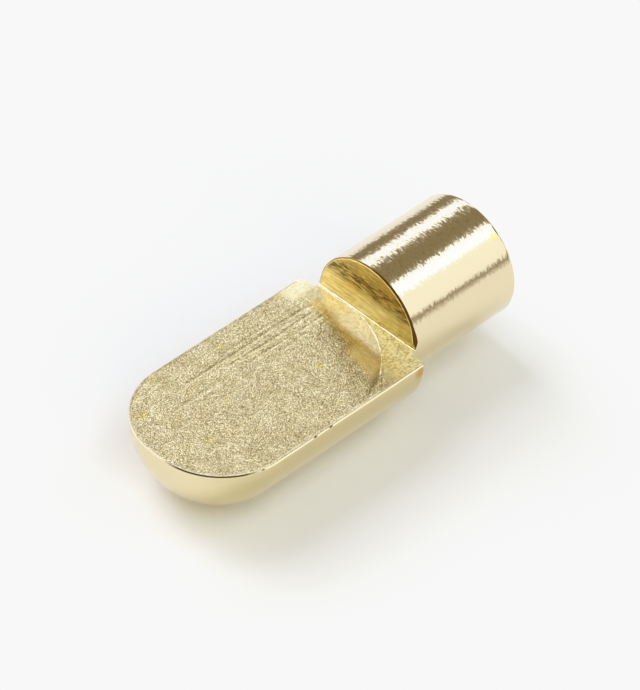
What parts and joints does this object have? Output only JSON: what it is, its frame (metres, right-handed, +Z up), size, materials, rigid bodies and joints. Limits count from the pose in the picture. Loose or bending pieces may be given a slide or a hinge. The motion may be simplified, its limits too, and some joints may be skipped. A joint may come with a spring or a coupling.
{
  "type": "shelf support pin",
  "caption": "One-piece brass shelf support: a round pin that pushes into a cabinet side, and a round-nosed tongue milled to a flat that carries the shelf.",
  "frame": {"origin": "on the pin's axis, in the plane of the shoulder that stops against the cabinet side", "axes": "+X out along the pin to its free end, +Z up from the flat that the shelf rests on"},
  "size_m": [0.0204, 0.0082, 0.0073],
  "materials": {
    "brass": "bright turned surfaces and a granular milled flat, unlacquered"
  },
  "bodies": {
    "root": {"support_pin": "brass"}
  },
  "joints": []
}
